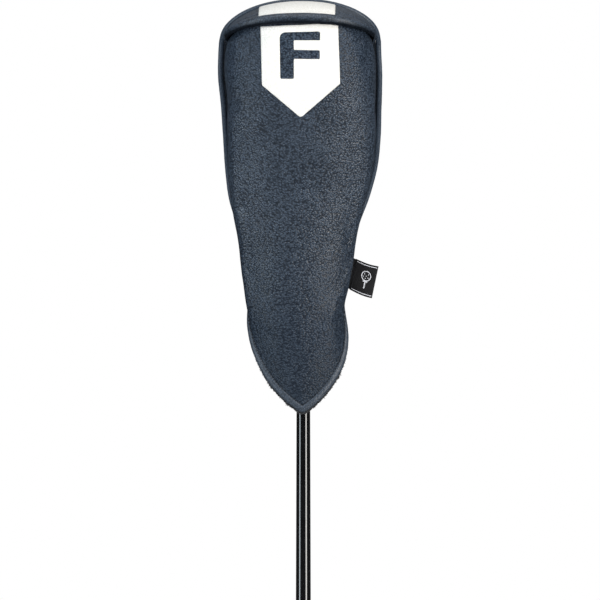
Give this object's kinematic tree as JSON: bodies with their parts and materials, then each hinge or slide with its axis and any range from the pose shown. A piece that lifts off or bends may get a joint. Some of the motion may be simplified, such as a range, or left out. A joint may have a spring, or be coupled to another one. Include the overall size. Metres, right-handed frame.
{
  "type": "fairway wood golf club",
  "caption": "Fairway wood golf club with adjustable hosel and screwed sole weight, wearing a padded navy leather head cover with a white patch and a pointed hem.",
  "frame": {"origin": "centre of the flat end of the grip cap", "axes": "+Z along the shaft from the grip to the head, -Y towards the front of the head cover, the side the white patch is on"},
  "size_m": [0.1173, 0.1304, 1.1505],
  "materials": {
    "grip_rubber": "matte",
    "tape": "matte",
    "shaft": "gloss",
    "ferrule": "gloss",
    "black_aluminium": "satin",
    "steel": "satin",
    "crown": "gloss",
    "face": "matte",
    "tungsten": "satin",
    "screw": "satin",
    "seal": "matte",
    "navy_leather": "satin",
    "navy_piping": "satin",
    "white_leather": "satin",
    "foam": "matte",
    "fleece": "matte",
    "elastic": "matte",
    "woven_label": "matte"
  },
  "bodies": {
    "shaft_assembly": {"grip_cap": "grip_rubber", "grip_sleeve": "grip_rubber", "grip_tape": "tape", "shaft": "shaft", "ferrule": "ferrule", "hosel_adapter": "black_aluminium"},
    "loft_ring": {"loft_ring": "black_aluminium"},
    "club_head": {"head_body": "steel", "crown_panel": "crown", "face_plate": "face", "forward_weight_bar": "tungsten"},
    "hosel_washer": {"hosel_washer": "screw"},
    "hosel_screw": {"hosel_screw": "screw"},
    "weight_seal": {"weight_seal": "seal"},
    "sole_weight": {"sole_weight": "tungsten"},
    "head_cover": {"front_panel": "navy_leather", "top_gusset": "navy_leather", "back_panel": "navy_leather", "ridge_roll": "navy_leather", "perimeter_piping": "navy_piping", "hem_front": "navy_leather", "hem_back": "navy_leather", "white_patch": "white_leather", "top_stripe": "white_leather", "foam_front": "foam", "foam_back": "foam", "lining_front": "fleece", "lining_back": "fleece", "neck_elastic": "elastic"},
    "side_label": {"side_label": "woven_label"}
  },
  "joints": [
    {"name": "head_pull_off", "type": "slide", "parent": "shaft_assembly", "child": "club_head", "axis": [0, 0, 1], "range_m": [0, 0.045]},
    {"name": "loft_ring_turn", "type": "hinge", "parent": "shaft_assembly", "child": "loft_ring", "pos_m": [0, 0, 1.02875], "axis": [0, 0, 1], "range_deg": [-180, 180]},
    {"name": "hosel_screw_lift", "type": "slide", "parent": "club_head", "child": "hosel_washer", "axis": [0, 0, 1], "range_m": [0, 0.0072]},
    {"name": "hosel_screw_turn", "type": "hinge", "parent": "hosel_washer", "child": "hosel_screw", "pos_m": [0, 0, 1.0785], "axis": [0, 0, 1], "range_deg": [0, 3240]},
    {"name": "weight_lift", "type": "slide", "parent": "club_head", "child": "weight_seal", "axis": [0.2687, 0.4653, 0.8434], "range_m": [0, 0.006]},
    {"name": "weight_turn", "type": "hinge", "parent": "weight_seal", "child": "sole_weight", "pos_m": [0.0224, -0.0552, 1.11271], "axis": [0.2687, 0.4653, 0.8434], "range_deg": [0, 2160]},
    {"name": "headcover_slide", "type": "slide", "parent": "club_head", "child": "head_cover", "axis": [0, 0, 1], "range_m": [0, 0.33], "deforming": ["front_panel", "top_gusset", "back_panel", "ridge_roll", "perimeter_piping", "hem_front", "hem_back", "white_patch", "top_stripe", "foam_front", "foam_back", "lining_front", "lining_back", "neck_elastic"]},
    {"name": "label_flap", "type": "hinge", "parent": "head_cover", "child": "side_label", "pos_m": [0.03518, 0.00426, 0.95431], "axis": [0.2335, -0.0238, 0.9721], "range_deg": [-60, 60]}
  ],
  "couplings": [
    {"joint": "hosel_screw_turn", "follows": "hosel_screw_lift", "rad_per_m": 7854},
    {"joint": "weight_turn", "follows": "weight_lift", "rad_per_m": 6283.2}
  ]
}
